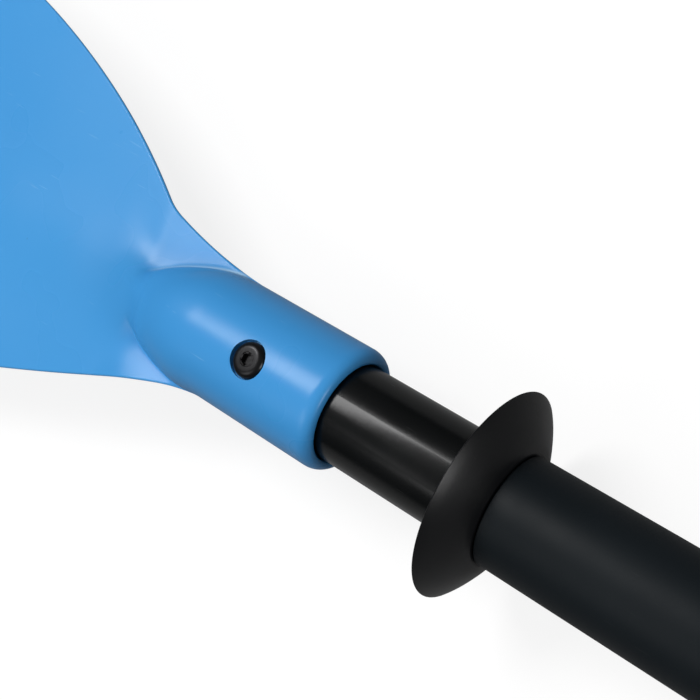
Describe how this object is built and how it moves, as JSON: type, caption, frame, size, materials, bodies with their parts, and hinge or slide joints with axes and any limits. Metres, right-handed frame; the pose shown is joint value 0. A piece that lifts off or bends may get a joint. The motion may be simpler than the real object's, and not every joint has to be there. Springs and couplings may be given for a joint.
{
  "type": "rowing oar",
  "caption": "Take-apart rowing oar: moulded spoon blade screwed to a sleeved tubular shaft, with a sliding drip ring, a snap-button joint, a stop collar and a ribbed grip.",
  "frame": {"origin": "on the shaft's axis, in the middle of the place where an oarlock holds the oar", "axes": "+X along the shaft towards the blade's tip, +Y across the blade, +Z normal to the blade's power face"},
  "size_m": [1.605, 0.15, 0.062],
  "materials": {
    "blade_plastic": "satin moulded polypropylene, solid blue",
    "shaft_metal": "gloss black anodised tube",
    "sleeve_skin": "dead matt black soft-touch skin",
    "ring_rubber": "satin black rubber",
    "grip_rubber": "matt black moulded rubber",
    "black_plastic": "black moulded nylon",
    "black_steel": "black oxide steel",
    "zinc_steel": "zinc plated steel",
    "rivet_metal": "satin aluminium",
    "spring_steel": "spring steel strip",
    "float_foam": "closed-cell foam"
  },
  "bodies": {
    "oar": {"blade": "blade_plastic", "blade_screw": "black_steel", "socket_plug": "black_plastic", "plug_nut": "zinc_steel", "lower_shaft": "shaft_metal", "lower_sleeve": "sleeve_skin", "lower_float_plug": "float_foam", "spigot": "shaft_metal", "spigot_rivets": "rivet_metal", "snap_spring": "spring_steel", "upper_shaft": "shaft_metal", "upper_sleeve": "sleeve_skin", "upper_float_plug": "float_foam", "handle_grip": "grip_rubber", "grip_end_cap": "black_plastic"},
    "drip_ring": {"drip_ring": "ring_rubber"},
    "snap_button": {"snap_button": "zinc_steel"},
    "stop_collar": {"stop_collar": "black_plastic", "collar_screw": "black_steel", "collar_nut": "zinc_steel"}
  },
  "joints": [
    {"name": "drip_ring_slide", "type": "slide", "parent": "oar", "child": "drip_ring", "axis": [1, 0, 0], "range_m": [0, 0.04]},
    {"name": "snap_button_press", "type": "slide", "parent": "oar", "child": "snap_button", "axis": [0, 0, -1], "range_m": [0, 0.0043], "stiffness_N_per_m": 2500, "springref_m": -0.001, "deforming": ["snap_spring"]},
    {"name": "stop_collar_slide", "type": "slide", "parent": "oar", "child": "stop_collar", "axis": [1, 0, 0], "range_m": [-0.12, 0.06]}
  ]
}
